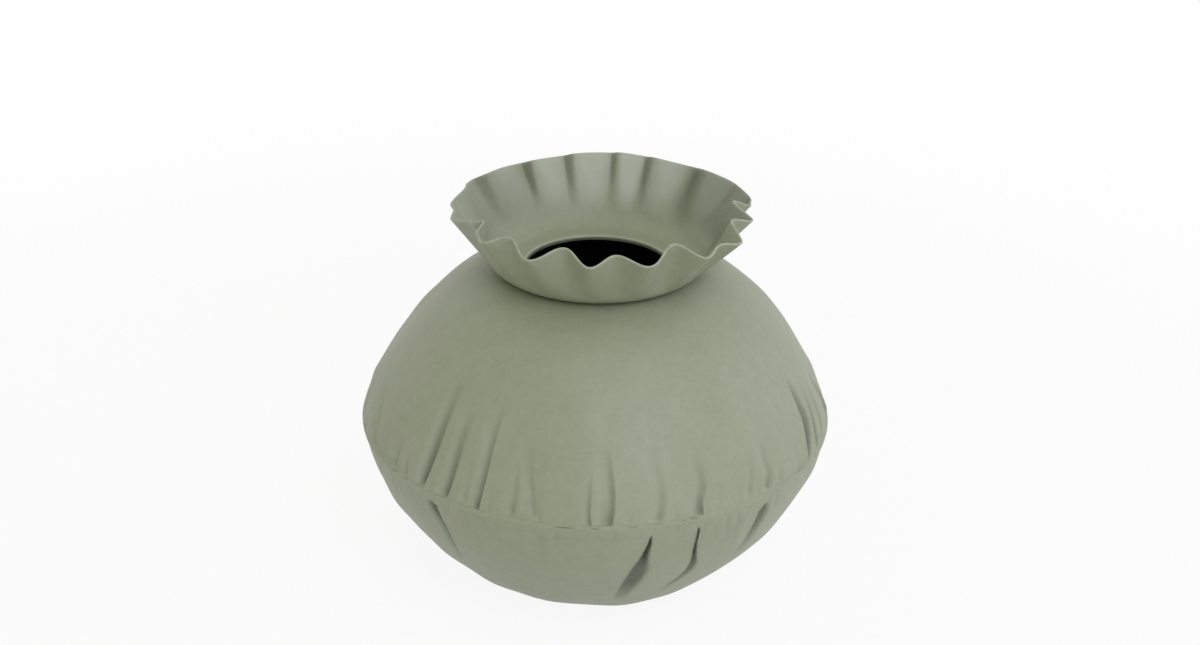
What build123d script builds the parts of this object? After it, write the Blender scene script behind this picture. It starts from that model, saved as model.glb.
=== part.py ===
from build123d import *
import math
import os

# Pillow vase: two dished sheets welded round their widest line and blown up,
# with a ruffled sheet collar welded round the mouth. Millimetres, +Z up, the
# origin at the centre of the ground that the vase stands on. Angles are in
# degrees, 0 at the front (-Y) and growing towards +X.

# Sheet and coat together
wall = 1.3

# Body: the seam is its widest line, the land its flat top, the base its flat foot
seam_radius = 150.0
seam_height = 103.0
dome_rise = 98.0
land_width = 16.8
base_radius = 73.0
upper_run_power = 1.77
upper_rise_power = 1.25
lower_run_power = 1.42
lower_rise_power = 1.50
fold_run_in = 9.0

# Mouth and collar
mouth_radius = 44.7
collar_setback = 7.6
collar_bend_radius = 18.0
collar_lean = 34.0
collar_rise = 40.0
ruffle_growth = 1.3

# Welds
mouth_weld_thickness = 0.8
mouth_weld_round = 0.3
seam_weld_width = 5.5
seam_weld_crown = 0.3
seam_contact = 0.5
weld_clearance = 0.05

# Stick-on pads
pad_count = 4
pad_radius = 9.0
pad_thickness = 1.5
pad_inset = 21.0
pad_edge_round = 0.4

# Rim ruffles: angle, and how far the rim stands out (+) or in (-) there
ruffles = [
    (-177, -3.5), (-170, -6.5), (-161, -1.5), (-152.5, -5.0), (-141, 0.5), (-123.5, -4.0),
    (-112, 1.0), (-100, -6.0), (-89, 0.5), (-81, -1.7), (-74, 1.8), (-56.5, -11.0),
    (-48, 1.3), (-37.5, -8.1), (-25, 3.5), (-13, -8.3), (-2.5, 4.0), (7, -4.4),
    (18.5, 4.8), (31.5, -7.5), (41.5, 7.1), (50.5, 2.4), (61, 6.9), (69.5, -5.5),
    (80.5, 5.6), (88.5, -7.0), (103, 8.5), (126, -7.0), (138, -1.5), (151.5, -7.5),
    (163, -2.5), (176.5, -10.0),
]

# Puckers above and tucks below the seam: angle, depth, half width in degrees, reach from the seam
upper_puckers = [
    (-72, 1.8, 6.0, 45), (-60, 1.2, 5.0, 24), (-51, 1.4, 4.0, 18), (-42.5, 3.2, 4.5, 54),
    (-34, 3.0, 4.0, 44), (-25.5, 3.2, 4.0, 52), (-16, 1.3, 4.5, 34), (2, 1.8, 5.0, 36),
    (15, 1.7, 4.0, 30), (25, 2.8, 4.0, 24), (41.5, 1.3, 4.5, 20), (62, 3.2, 5.0, 38),
    (70, 1.6, 4.5, 20), (86, 2.4, 5.0, 36), (101, 3.0, 5.0, 48), (113, 1.5, 4.5, 26),
    (127, 2.8, 5.0, 44), (141, 1.8, 5.0, 30), (152, 3.0, 4.5, 50), (166, 1.4, 4.5, 24),
    (178, 2.6, 5.0, 42), (-169, 1.6, 4.5, 28), (-157, 3.0, 5.0, 50), (-144, 1.5, 4.5, 26),
    (-132, 2.8, 5.0, 46), (-118, 1.8, 5.0, 30), (-105, 3.0, 5.0, 48), (-90, 2.0, 5.0, 34),
]
lower_tucks = [
    (-150, 2.8, 5.0, 44), (-122, 2.4, 5.5, 40), (-96, 3.0, 5.0, 46), (-68, 2.0, 5.0, 34),
    (-38, 3.0, 4.5, 42), (-12, 1.0, 6.0, 26), (12, 4.0, 4.5, 60), (24.5, 3.4, 4.0, 52),
    (42, 3.2, 6.0, 46), (74, 2.4, 5.5, 40), (98, 3.0, 5.0, 46), (126, 2.2, 5.0, 36),
    (151, 3.0, 5.0, 48), (178, 2.4, 5.5, 40),
]

# How finely the wavy sheets are drawn: points in a ring, and rings up a shell and the collar
points_per_ring = 240
shell_turns = [0, 5, 10, 16, 23, 31, 40, 50, 60, 70, 80, 90]
bend_rings = 4
flare_rings = 5
nudge = 0.05

# Sizes that follow from the others
base_height = pad_thickness
land_height = seam_height + dome_rise
land_radius = mouth_radius + land_width
sheet_hole_radius = mouth_radius + mouth_weld_thickness + weld_clearance
collar_floor_radius = land_radius - collar_setback
lean_turn = math.radians(collar_lean)
bend_length = collar_bend_radius * (math.pi / 2 - lean_turn)
bend_rise = collar_bend_radius * (1 - math.sin(lean_turn))
flare_length = (collar_rise - bend_rise) / math.cos(lean_turn)
pad_pitch_radius = base_radius - pad_inset

os.makedirs("parts", exist_ok=True)


def wrap(angle):
    """Brings an angle between -180 and 180."""
    return (angle + 180) % 360 - 180


def spot(radius, angle, height):
    """The point at a radius, an angle from the front and a height."""
    turn = math.radians(angle)
    return Vector(radius * math.sin(turn), -radius * math.cos(turn), height)


def closed_ring(point_at):
    """A closed smooth wire through the points that point_at gives for each angle."""
    shares = [step / points_per_ring for step in range(points_per_ring + 1)]
    points = [point_at(360 * share) for share in shares[:-1]]
    return Wire([Edge.make_spline(points, periodic=True, parameters=shares)])


def fold_depth(folds, angle, from_seam):
    """How far the sheet is drawn in by its folds, at a height from the seam."""
    start = seam_weld_width / 2
    depth = 0.0
    for middle, deepest, half_width, reach in folds:
        aside = abs(wrap(angle - middle)) / half_width
        if aside >= 1 or not start < from_seam < reach:
            continue
        across = 0.5 + 0.5 * math.cos(math.pi * aside)
        run_in = math.sin(math.pi / 2 * min(1.0, (from_seam - start) / fold_run_in)) ** 2
        fade = 0.5 + 0.5 * math.cos(math.pi * (from_seam - start) / (reach - start))
        depth += deepest * across * run_in * fade
    return depth


def shell_section(turn, inset, end_radius, end_height, run_power, rise_power, folds):
    """One level section of a shell: turn 0 is the seam and 90 the flat end."""
    run = seam_radius - inset - end_radius
    rise = end_height - seam_height
    rise -= math.copysign(inset, rise)
    radius = end_radius + run * max(math.cos(math.radians(turn)), 0.0) ** (2 / run_power)
    from_seam = abs(rise) * math.sin(math.radians(turn)) ** (2 / rise_power)
    height = seam_height + math.copysign(from_seam, rise)
    with BuildSketch(Plane.XY.offset(height)) as section:
        with BuildLine():
            add(closed_ring(lambda angle: spot(radius - fold_depth(folds, angle, from_seam), angle, 0)))
        make_face()
    return section.sketch


def shell_radius(height, end_radius, end_height, run_power, rise_power):
    """The outside radius of a shell at a height near the seam."""
    share = abs((height - seam_height) / (end_height - seam_height))
    return end_radius + (seam_radius - end_radius) * (1 - share**rise_power) ** (1 / run_power)


upper_form = (land_radius, land_height, upper_run_power, upper_rise_power)
lower_form = (base_radius, base_height, lower_run_power, lower_rise_power)

# Weld groove that both shells share: its root just outside their contact, its sides run on past the sheets
groove_root = seam_radius - wall + seam_contact
groove_top = seam_height + seam_weld_width / 2
groove_bottom = seam_height - seam_weld_width / 2
groove_top_radius = shell_radius(groove_top, *upper_form)
groove_bottom_radius = shell_radius(groove_bottom, *lower_form)
with BuildSketch(Plane.XZ) as groove:
    with BuildLine():
        Polyline(
            (groove_root, seam_height),
            (2 * groove_top_radius - groove_root, seam_height + seam_weld_width),
            (seam_radius + 2 * wall, seam_height + seam_weld_width),
            (seam_radius + 2 * wall, seam_height - seam_weld_width),
            (2 * groove_bottom_radius - groove_root, seam_height - seam_weld_width),
            close=True,
        )
    make_face()

# Upper shell: domed sheet with puckers above the seam, a flat land and the mouth hole
with BuildPart() as upper_shell:
    loft([shell_section(turn, 0, *upper_form, upper_puckers) for turn in shell_turns])
    loft([shell_section(turn, wall, *upper_form, upper_puckers) for turn in shell_turns], mode=Mode.SUBTRACT)
    with Locations((0, 0, land_height)):
        Hole(sheet_hole_radius)
    revolve(groove.sketch, axis=Axis.Z, mode=Mode.SUBTRACT)
upper_shell.part.label = "upper_shell"
export_step(upper_shell.part, "parts/upper_shell.step")

# Lower shell: dished sheet with tucks below the seam and a flat base
with BuildPart() as lower_shell:
    loft([shell_section(turn, 0, *lower_form, lower_tucks) for turn in shell_turns])
    loft([shell_section(turn, wall, *lower_form, lower_tucks) for turn in shell_turns], mode=Mode.SUBTRACT)
    revolve(groove.sketch, axis=Axis.Z, mode=Mode.SUBTRACT)
lower_shell.part.label = "lower_shell"
export_step(lower_shell.part, "parts/lower_shell.step")

# Seam weld: fills the groove round the widest line, slightly crowned
with BuildPart() as seam_weld:
    with BuildSketch(Plane.XZ):
        with BuildLine():
            root = (groove_root + weld_clearance, seam_height)
            top = (groove_top_radius + weld_clearance, groove_top)
            bottom = (groove_bottom_radius + weld_clearance, groove_bottom)
            Line(root, top)
            ThreePointArc(top, (seam_radius + seam_weld_crown, seam_height), bottom)
            Line(bottom, root)
        make_face()
    revolve(axis=Axis.Z)
seam_weld.part.label = "seam_weld"
export_step(seam_weld.part, "parts/seam_weld.step")


def ruffle_at(angle):
    """How far the rim stands out at an angle, blended from one wave to the next."""
    waves = sorted((wrap(middle), out) for middle, out in ruffles)
    waves = [(waves[-1][0] - 360, waves[-1][1])] + waves + [(waves[0][0] + 360, waves[0][1])]
    here = wrap(angle)
    for (before, first), (after, second) in zip(waves, waves[1:]):
        if here <= after:
            share = (here - before) / (after - before)
            return first + (second - first) * (0.5 - 0.5 * math.cos(math.pi * share))


def collar_outside(angle, along):
    """A point of the collar's outside, along being measured up the sheet from the floor's edge."""
    bent = max(min(along, bend_length), 0.0) / collar_bend_radius
    on_floor = min(along, 0.0)
    up_flare = max(along - bend_length, 0.0)
    out = ruffle_at(angle) * (up_flare / flare_length) ** ruffle_growth
    radius = collar_floor_radius + on_floor + up_flare * math.sin(lean_turn)
    radius += (collar_bend_radius + out) * math.sin(bent)
    height = land_height + collar_bend_radius + up_flare * math.cos(lean_turn)
    height -= (collar_bend_radius + out) * math.cos(bent)
    return spot(radius, angle, height)


def collar_inside(angle, along):
    """The point of the collar's inside that lies one wall behind an outside point."""
    across = collar_outside(angle + nudge, along) - collar_outside(angle - nudge, along)
    upward = collar_outside(angle, along + nudge) - collar_outside(angle, along - nudge)
    return collar_outside(angle, along) - across.cross(upward).normalized() * wall


# Ruffled collar: flat floor on the land, a round bend and a flared wall that waves towards its rim
bend_places = [bend_length * step / bend_rings for step in range(bend_rings + 1)]
flare_places = [bend_length + flare_length * step / flare_rings for step in range(flare_rings + 1)]
outside_bend, outside_flare, inside_bend, inside_flare = (
    [closed_ring(lambda angle: side(angle, along)) for along in places]
    for side in (collar_outside, collar_inside)
    for places in (bend_places, flare_places)
)
collar_skins = [
    Face(outside_bend[0]),
    Shell.make_loft(outside_bend),
    Shell.make_loft(outside_flare),
    Shell.make_loft([outside_flare[-1], inside_flare[-1]], ruled=True),
    Shell.make_loft(inside_flare),
    Shell.make_loft(inside_bend),
    Face(inside_bend[0]),
]
with BuildPart() as ruffled_collar:
    add(Solid(Shell([face for skin in collar_skins for face in skin.faces()])))
    with Locations((0, 0, land_height)):
        Hole(sheet_hole_radius)
ruffled_collar.part.label = "ruffled_collar"
export_step(ruffled_collar.part, "parts/ruffled_collar.step")

# Mouth weld: the round run inside the mouth that joins collar floor and land
with BuildPart() as mouth_weld:
    with BuildSketch(Plane.XY.offset(land_height - wall)):
        Circle(mouth_radius + mouth_weld_thickness)
        Circle(mouth_radius, mode=Mode.SUBTRACT)
    extrude(amount=2 * wall)
    inner_edges = mouth_weld.edges().filter_by(GeomType.CIRCLE).sort_by(SortBy.RADIUS)[:2]
    fillet(inner_edges, radius=mouth_weld_round)
mouth_weld.part.label = "mouth_weld"
export_step(mouth_weld.part, "parts/mouth_weld.step")

# Stick-on pads under the base, each its own piece
pad_places = PolarLocations(pad_pitch_radius, pad_count, start_angle=180 / pad_count).locations
for number, place in enumerate(pad_places, start=1):
    with BuildPart() as base_pad:
        with BuildSketch():
            with Locations(place):
                Circle(pad_radius)
        extrude(amount=pad_thickness)
        fillet(base_pad.edges().group_by(Axis.Z)[0], radius=pad_edge_round)
    base_pad.part.label = f"base_pad_{number}"
    export_step(base_pad.part, f"parts/base_pad_{number}.step")
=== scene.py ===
"""Looks of a ruffle-necked pillow vase of coated sheet steel, on a pale studio floor.

The vase is two dished sheets welded round their widest line and blown up, so
the sheet puckers above and tucks below the seam, with a ruffled sheet collar
welded round the mouth and soft pads under the base. Everything is in metres,
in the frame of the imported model. Angles are in degrees, 0 at the front (-Y)
and growing towards +X.
"""

import logging
import math
from dataclasses import dataclass, field
from enum import Enum
from typing import Any

import bpy
import numpy as np
from mathutils import Matrix, Vector


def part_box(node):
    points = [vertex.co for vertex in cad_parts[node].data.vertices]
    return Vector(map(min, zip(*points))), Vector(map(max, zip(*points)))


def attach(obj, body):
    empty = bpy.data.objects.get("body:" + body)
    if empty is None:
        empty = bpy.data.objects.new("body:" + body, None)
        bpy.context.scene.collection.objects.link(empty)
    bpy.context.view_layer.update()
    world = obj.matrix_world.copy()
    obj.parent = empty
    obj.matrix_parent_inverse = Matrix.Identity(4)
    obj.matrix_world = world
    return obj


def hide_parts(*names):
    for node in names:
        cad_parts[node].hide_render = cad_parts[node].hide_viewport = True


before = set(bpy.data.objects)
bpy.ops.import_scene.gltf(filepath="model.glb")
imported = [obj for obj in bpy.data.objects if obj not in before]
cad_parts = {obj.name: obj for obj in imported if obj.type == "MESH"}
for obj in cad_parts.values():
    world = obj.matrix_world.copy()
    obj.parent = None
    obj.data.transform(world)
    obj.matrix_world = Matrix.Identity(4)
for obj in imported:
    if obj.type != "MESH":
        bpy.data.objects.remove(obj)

MM = 0.001
BODY = "root"
COLUMNS = 960
MOUTH_RADIUS = 44.7
SHEET_HOLE_RADIUS = 45.55

Colour = tuple[float, float, float]
log = logging.getLogger("pillow_vase")


class Half(Enum):
    """The two blown halves of the body; the value is the way each runs from the seam."""

    UPPER = 1
    LOWER = -1


class Crest(Enum):
    """The side on which a fold ends in a sharp crest; NONE eases out softly on both."""

    NONE = 0
    LEFT = -1
    RIGHT = 1


class Blend(Enum):
    """How the mixing node joins two colours."""

    MIX = "MIX"
    MULTIPLY = "MULTIPLY"


# Shader graphs


class Wire:
    """A shader socket that takes part in Python arithmetic, one Math node for each operation."""

    def __init__(self, graph: "Graph", socket: bpy.types.NodeSocket) -> None:
        """Keeps the socket and the graph that it belongs to."""
        self.graph = graph
        self.socket = socket

    def __add__(self, other: "Wire | float") -> "Wire":
        """Adds a value or a wire."""
        return self.graph.math("ADD", self, other)

    def __mul__(self, other: "Wire | float") -> "Wire":
        """Multiplies by a value or a wire."""
        return self.graph.math("MULTIPLY", self, other)

    def __sub__(self, other: "Wire | float") -> "Wire":
        """Takes a value or a wire away."""
        return self.graph.math("SUBTRACT", self, other)

    def __rsub__(self, other: float) -> "Wire":
        """Takes this wire away from a value."""
        return self.graph.math("SUBTRACT", other, self)

    __radd__ = __add__
    __rmul__ = __mul__


class Graph:
    """A node tree that is being wired up."""

    def __init__(self, tree: bpy.types.NodeTree) -> None:
        """Empties the tree.

        Args:
            tree: the node tree of a material or a world.
        """
        self.tree = tree
        tree.nodes.clear()

    def node(self, kind: str, settings: dict[str, Any], sockets: dict[Any, Any], output: Any = 0) -> Wire:
        """Adds a node of any kind.

        Args:
            kind: the node's type.
            settings: properties of the node, set before its sockets; "stops" gives a ramp's stops.
            sockets: the values or wires of its input sockets, by name or number.
            output: the name or number of the output socket to return.

        Returns:
            A wire from the chosen output.
        """
        made = self.tree.nodes.new(kind)
        for name, value in settings.items():
            if name == "stops":
                self._set_stops(made.color_ramp, value)
            else:
                setattr(made, name, value)
        for name, value in sockets.items():
            if isinstance(value, Wire):
                self.tree.links.new(value.socket, made.inputs[name])
            else:
                made.inputs[name].default_value = value
        return Wire(self, made.outputs[output] if made.outputs else None)

    def _set_stops(self, ramp: bpy.types.ColorRamp, stops: list[tuple[float, float]]) -> None:
        """Gives a ramp its grey stops.

        Args:
            ramp: the colour ramp.
            stops: place and brightness of two stops.
        """
        for element, (place, grey) in zip(ramp.elements, stops):
            element.position = place
            element.color = (grey, grey, grey, 1.0)

    def math(self, operation: str, first: Wire | float, second: Wire | float) -> Wire:
        """Adds a Math node on two values or wires and returns its result."""
        return self.node("ShaderNodeMath", {"operation": operation}, {0: first, 1: second})

    def mix(self, share: Wire | float, first: Any, second: Any, blend: Blend = Blend.MIX) -> Wire:
        """Mixes two colours.

        Args:
            share: how much of the second colour there is.
            first: the first colour, or a wire of it.
            second: the second colour, or a wire of it.
            blend: how they are joined.

        Returns:
            The mixed colour.
        """
        settings = {"data_type": "RGBA", "blend_type": blend.value}
        return self.node("ShaderNodeMix", settings, {0: share, 6: rgba(first), 7: rgba(second)}, 2)

    def noise(self, place: Wire, scale: float, detail: float, roughness: float = 0.5) -> Wire:
        """Adds a noise pattern, in turns to the metre, and returns its value from 0 to 1."""
        sockets = {"Vector": place, "Scale": scale, "Detail": detail, "Roughness": roughness}
        return self.node("ShaderNodeTexNoise", {}, sockets, "Fac")

    def ramp(self, value: Wire, low: float, high: float) -> Wire:
        """Spreads the part of a value between low and high over 0 to 1."""
        return self.node("ShaderNodeValToRGB", {"stops": [(low, 0.0), (high, 1.0)]}, {"Fac": value})

    def attribute(self, name: str) -> Wire:
        """Reads a mesh attribute of that name as a value."""
        return self.node("ShaderNodeAttribute", {"attribute_name": name}, {}, "Fac")

    def object_place(self) -> Wire:
        """The place on the piece, in Object coordinates."""
        return self.node("ShaderNodeTexCoord", {}, {}, "Object")


def rgba(colour: Any) -> Any:
    """Gives a plain colour its alpha, and leaves a wire as it is."""
    return colour if isinstance(colour, Wire) else (*colour, 1.0)


def new_material(name: str) -> tuple[bpy.types.Material, Graph]:
    """Makes an empty node material.

    Args:
        name: the material's name.

    Returns:
        The material and its graph.
    """
    material = bpy.data.materials.new(name)
    material.use_nodes = True
    return material, Graph(material.node_tree)


# Finishes


@dataclass(frozen=True)
class PowderCoat:
    """Sage powder coat: fine leathery skin, uneven in tone, worn with a painted highlight at the lip, painted
    highlights on lit flanks and painted shade in folds.
    """

    name: str = "sage_powder_coat"
    light_tone: Colour = (0.325, 0.348, 0.247)
    dark_tone: Colour = (0.270, 0.296, 0.193)
    # Colours of the painted shade, of the lip's wear with its painted highlight, and of the painted
    # highlights.
    painted_shade_tone: Colour = (0.27, 0.28, 0.24)
    rim_wear_and_highlight_tone: Colour = (0.43, 0.455, 0.355)
    painted_highlight_tone: Colour = (0.405, 0.445, 0.342)
    roughness: float = 0.50
    roughness_spread: float = 0.12
    grain_height: float = 0.16 * MM
    grain_strength: float = 0.42
    cloud_scale: float = 8.0
    mottle_scale: float = 55.0
    hammer_scale: float = 170.0
    wear_and_highlight_scale: float = 260.0
    peel_scale: float = 420.0
    speck_scale: float = 430.0
    grain_scale: float = 950.0

    def make(self) -> bpy.types.Material:
        """Builds the material.

        Returns:
            The coat, which reads from the piece's attributes the painted shade (fold), the painted
            highlights, and the wear and painted highlight of the lip and weld lumps (lip).
        """
        material, graph = new_material(self.name)
        place = graph.object_place()
        clouds = graph.noise(place, self.cloud_scale, 3.0)
        mottle = graph.noise(place, self.mottle_scale, 4.0, 0.6)
        hammer = graph.noise(place, self.hammer_scale, 2.0)
        speck = graph.noise(place, self.speck_scale, 2.0)
        grain = graph.noise(place, self.grain_scale, 2.0)
        cells = {"Vector": place, "Scale": self.peel_scale, "Smoothness": 0.6}
        peel = graph.node("ShaderNodeTexVoronoi", {"feature": "SMOOTH_F1"}, cells, "Distance")
        patches = clouds * 0.60 + mottle * 0.32 + hammer * 0.28 + speck * 0.24
        tone = graph.ramp(patches, 0.53, 0.91)
        colour = graph.mix(tone, self.dark_tone, self.light_tone)
        # Painted highlight: paler, bluer coat on flanks and rims that face the light.
        colour = graph.mix(graph.attribute("painted_highlight") * (0.5 + mottle), colour, self.painted_highlight_tone)
        # Painted shade: folds, creases, slits, the mouth hole and unlit walls darkened.
        painted_shade = graph.attribute("fold") * (0.55 + mottle * 0.5)
        colour = graph.mix(painted_shade, colour, self.painted_shade_tone, Blend.MULTIPLY)
        # Lip and weld lumps: partly worn coat, partly a painted highlight, broken up by noise.
        wear_and_highlight = graph.attribute("lip") * graph.ramp(graph.noise(place, self.wear_and_highlight_scale, 3.0), 0.30, 0.62)
        colour = graph.mix(wear_and_highlight * 0.55, colour, self.rim_wear_and_highlight_tone)
        rough = self.roughness + self.roughness_spread * (mottle - 0.5) + 0.10 * (grain - 0.5)
        bump_sockets = {
            "Strength": self.grain_strength,
            "Distance": self.grain_height,
            "Height": peel * 0.9 + grain * 0.5 + mottle * 0.4 + hammer * 3.0,
        }
        bump = graph.node("ShaderNodeBump", {}, bump_sockets)
        skin = {"Base Color": colour, "Roughness": rough, "Normal": bump}
        shader = graph.node("ShaderNodeBsdfPrincipled", {}, skin)
        graph.node("ShaderNodeOutputMaterial", {}, {"Surface": shader})
        return material


@dataclass(frozen=True)
class BareSteelInShade:
    """The uncoated inside of the sheets: bare steel with dull brighter streaks, made near black as painted
    shade for the unlit inside.
    """

    name: str = "bare_steel_in_shade"
    # Near black: partly bare steel, partly painted shade.
    shaded_scale_tone: Colour = (0.016, 0.016, 0.015)
    shaded_steel_tone: Colour = (0.040, 0.039, 0.036)

    def make(self) -> bpy.types.Material:
        """Builds the material.

        Returns:
            The finished material.
        """
        material, graph = new_material(self.name)
        place = graph.object_place()
        streaks = graph.noise(place, 24.0, 5.0, 0.65)
        colour = graph.mix(graph.ramp(streaks, 0.40, 0.70), self.shaded_scale_tone, self.shaded_steel_tone)
        bump = graph.node("ShaderNodeBump", {}, {"Strength": 0.2, "Distance": 0.2 * MM, "Height": streaks})
        skin = {"Base Color": colour, "Roughness": 0.62 + 0.2 * streaks, "Normal": bump}
        shader = graph.node("ShaderNodeBsdfPrincipled", {}, skin)
        graph.node("ShaderNodeOutputMaterial", {}, {"Surface": shader})
        return material


@dataclass(frozen=True)
class PadFelt:
    """Dark grey pressed felt with matted fibres and a little lint."""

    name: str = "pad_felt"
    dark_tone: Colour = (0.030, 0.031, 0.030)
    light_tone: Colour = (0.085, 0.086, 0.082)

    def make(self) -> bpy.types.Material:
        """Builds the material.

        Returns:
            The finished material.
        """
        material, graph = new_material(self.name)
        place = graph.object_place()
        fibres = graph.noise(place, 1400.0, 5.0, 0.7)
        lint = graph.noise(place, 240.0, 3.0)
        colour = graph.mix(graph.ramp(fibres * 0.7 + lint * 0.3, 0.36, 0.66), self.dark_tone, self.light_tone)
        bump = graph.node("ShaderNodeBump", {}, {"Strength": 0.7, "Distance": 0.4 * MM, "Height": fibres})
        skin = {"Base Color": colour, "Roughness": 0.9 + 0.1 * lint, "Normal": bump}
        shader = graph.node("ShaderNodeBsdfPrincipled", {}, skin)
        graph.node("ShaderNodeOutputMaterial", {}, {"Surface": shader})
        return material


@dataclass(frozen=True)
class PaleFloor:
    """White paper floor that the camera sees lifted to white, with the shadow still on it near the vase."""

    name: str = "pale_floor"
    paper: Colour = (0.86, 0.86, 0.85)
    paper_light: Colour = (0.89, 0.89, 0.88)
    lift: float = 0.90
    fade_from: float = 0.35
    fade_to: float = 1.30

    def make(self) -> bpy.types.Material:
        """Builds the material.

        Returns:
            The finished material.
        """
        material, graph = new_material(self.name)
        place = graph.object_place()
        grain = graph.noise(place, 30.0, 3.0)
        colour = graph.mix(grain, self.paper, self.paper_light)
        away = graph.node("ShaderNodeVectorMath", {"operation": "LENGTH"}, {0: place}, "Value")
        reach = {"Value": away, "From Min": self.fade_from, "From Max": self.fade_to}
        fade = graph.node("ShaderNodeMapRange", {"interpolation_type": "SMOOTHSTEP"}, reach)
        paper = graph.node("ShaderNodeBsdfDiffuse", {}, {"Color": colour})
        white = graph.node("ShaderNodeEmission", {}, {"Color": (1.0, 1.0, 1.0, 1.0), "Strength": 1.0})
        seen = seen_directly(graph) * (self.lift + (1.0 - self.lift) * fade)
        shader = graph.node("ShaderNodeMixShader", {}, {0: seen, 1: paper, 2: white})
        graph.node("ShaderNodeOutputMaterial", {}, {"Surface": shader})
        return material


def seen_directly(graph: Graph) -> Wire:
    """Tells what is seen from what gives light.

    Args:
        graph: the graph that asks.

    Returns:
        1 for what the camera sees straight, in a gloss or through glass, and 0 for light.
    """
    rays = [
        graph.node("ShaderNodeLightPath", {}, {}, name)
        for name in ("Is Camera Ray", "Is Glossy Ray", "Is Transmission Ray")
    ]
    return graph.math("MAXIMUM", graph.math("MAXIMUM", rays[0], rays[1]), rays[2])


# Modelling by hand


def deselect_all() -> None:
    """Leaves edit mode and clears the selection."""
    if bpy.context.object and bpy.context.object.mode != "OBJECT":
        bpy.ops.object.mode_set(mode="OBJECT")
    bpy.ops.object.select_all(action="DESELECT")


def spin_section(name: str, section: np.ndarray, columns: int = COLUMNS) -> bpy.types.Object:
    """Draws a section point by point beside the axis and spins it round.

    Args:
        name: the piece's name.
        section: radius and height of each point, in metres; it is closed if its ends meet.
        columns: the number of steps round the axis.

    Returns:
        The spun piece, with merged doubles and its faces pointing one way.
    """
    deselect_all()
    bpy.ops.mesh.primitive_plane_add(size=MM, location=(0.0, 0.0, 0.0))
    piece = bpy.context.object
    piece.name = name
    piece.data.name = name
    bpy.ops.object.mode_set(mode="EDIT")
    bpy.ops.mesh.select_mode(type="VERT")
    bpy.ops.mesh.select_all(action="SELECT")
    bpy.ops.mesh.merge(type="CENTER")
    bpy.ops.transform.translate(value=(section[0, 0], 0.0, section[0, 1]))
    for run, rise in np.diff(section, axis=0):
        bpy.ops.mesh.extrude_vertices_move(TRANSFORM_OT_translate={"value": (run, 0.0, rise)})
    bpy.ops.mesh.select_all(action="SELECT")
    bpy.ops.mesh.remove_doubles(threshold=0.01 * MM)
    bpy.ops.object.mode_set(mode="OBJECT")
    turning = piece.modifiers.new("turning", "SCREW")
    turning.axis = "Z"
    turning.angle = 2 * math.pi
    turning.steps = columns
    turning.render_steps = columns
    turning.use_merge_vertices = True
    turning.merge_threshold = 0.01 * MM
    bpy.ops.object.modifier_apply(modifier=turning.name)
    bpy.ops.object.mode_set(mode="EDIT")
    bpy.ops.mesh.select_all(action="SELECT")
    bpy.ops.mesh.remove_doubles(threshold=0.01 * MM)
    bpy.ops.mesh.normals_make_consistent(inside=False)
    bpy.ops.object.mode_set(mode="OBJECT")
    return piece


def read_points(piece: bpy.types.Object) -> np.ndarray:
    """Reads the vertices of a piece.

    Args:
        piece: the mesh object.

    Returns:
        Rows of x, y, z.
    """
    points = np.empty(len(piece.data.vertices) * 3)
    piece.data.vertices.foreach_get("co", points)
    return points.reshape(-1, 3)


def write_points(piece: bpy.types.Object, points: np.ndarray) -> None:
    """Puts the vertices back after sculpting.

    Args:
        piece: the mesh object.
        points: rows of x, y, z.
    """
    piece.data.vertices.foreach_set("co", points.astype(np.float32).ravel())
    piece.data.update()


def write_attribute(piece: bpy.types.Object, name: str, values: np.ndarray) -> None:
    """Stores one value for each vertex under a name that the coat reads."""
    layer = piece.data.attributes.new(name, "FLOAT", "POINT")
    layer.data.foreach_set("value", values.astype(np.float32))


def smooth_step(value: np.ndarray) -> np.ndarray:
    """Eases from 0 to 1 as the value goes from 0 to 1."""
    share = np.clip(value, 0.0, 1.0)
    return share * share * (3.0 - 2.0 * share)


def share_of(value: np.ndarray, band: tuple[float, float]) -> np.ndarray:
    """How far a value has come from the first end of a band to the second, as a share."""
    return (value - band[0]) / (band[1] - band[0])


def wrap(angle: np.ndarray) -> np.ndarray:
    """Brings angles between -180 and 180."""
    return (angle + 180.0) % 360.0 - 180.0


def bell(offset: np.ndarray, half_width: float) -> np.ndarray:
    """A smooth hump of height 1 that ends at the half width."""
    return np.cos(np.pi / 2 * np.clip(offset / half_width, -1.0, 1.0)) ** 2


def angles_of(points: np.ndarray) -> np.ndarray:
    """The angle of each point round the axis, from the front."""
    return np.degrees(np.arctan2(points[:, 0], -points[:, 1]))


def place_round(radius: np.ndarray, angle: np.ndarray, height: np.ndarray) -> np.ndarray:
    """Points at a radius, an angle from the front and a height."""
    turn = np.radians(angle)
    return np.column_stack((radius * np.sin(turn), -radius * np.cos(turn), height))


def rows_of(points: np.ndarray, section: np.ndarray) -> np.ndarray:
    """Finds which point of the section each vertex was spun from.

    Args:
        points: the spun vertices.
        section: the section's points.

    Returns:
        The number of the section point for each vertex.
    """
    flat = np.column_stack((np.hypot(points[:, 0], points[:, 1]), points[:, 2]))
    gaps = (flat[:, None, 0] - section[None, :, 0]) ** 2 + (flat[:, None, 1] - section[None, :, 1]) ** 2
    return np.argmin(gaps, axis=1)


def finish_piece(piece: bpy.types.Object, node: str) -> None:
    """Rides a finished piece on the vase and lets it stand for its CAD node.

    Args:
        piece: the finished mesh object.
        node: the CAD node that it stands for.
    """
    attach(piece, BODY)
    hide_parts(node)
    log.info("%s: %d faces", piece.name, len(piece.data.polygons))


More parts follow.
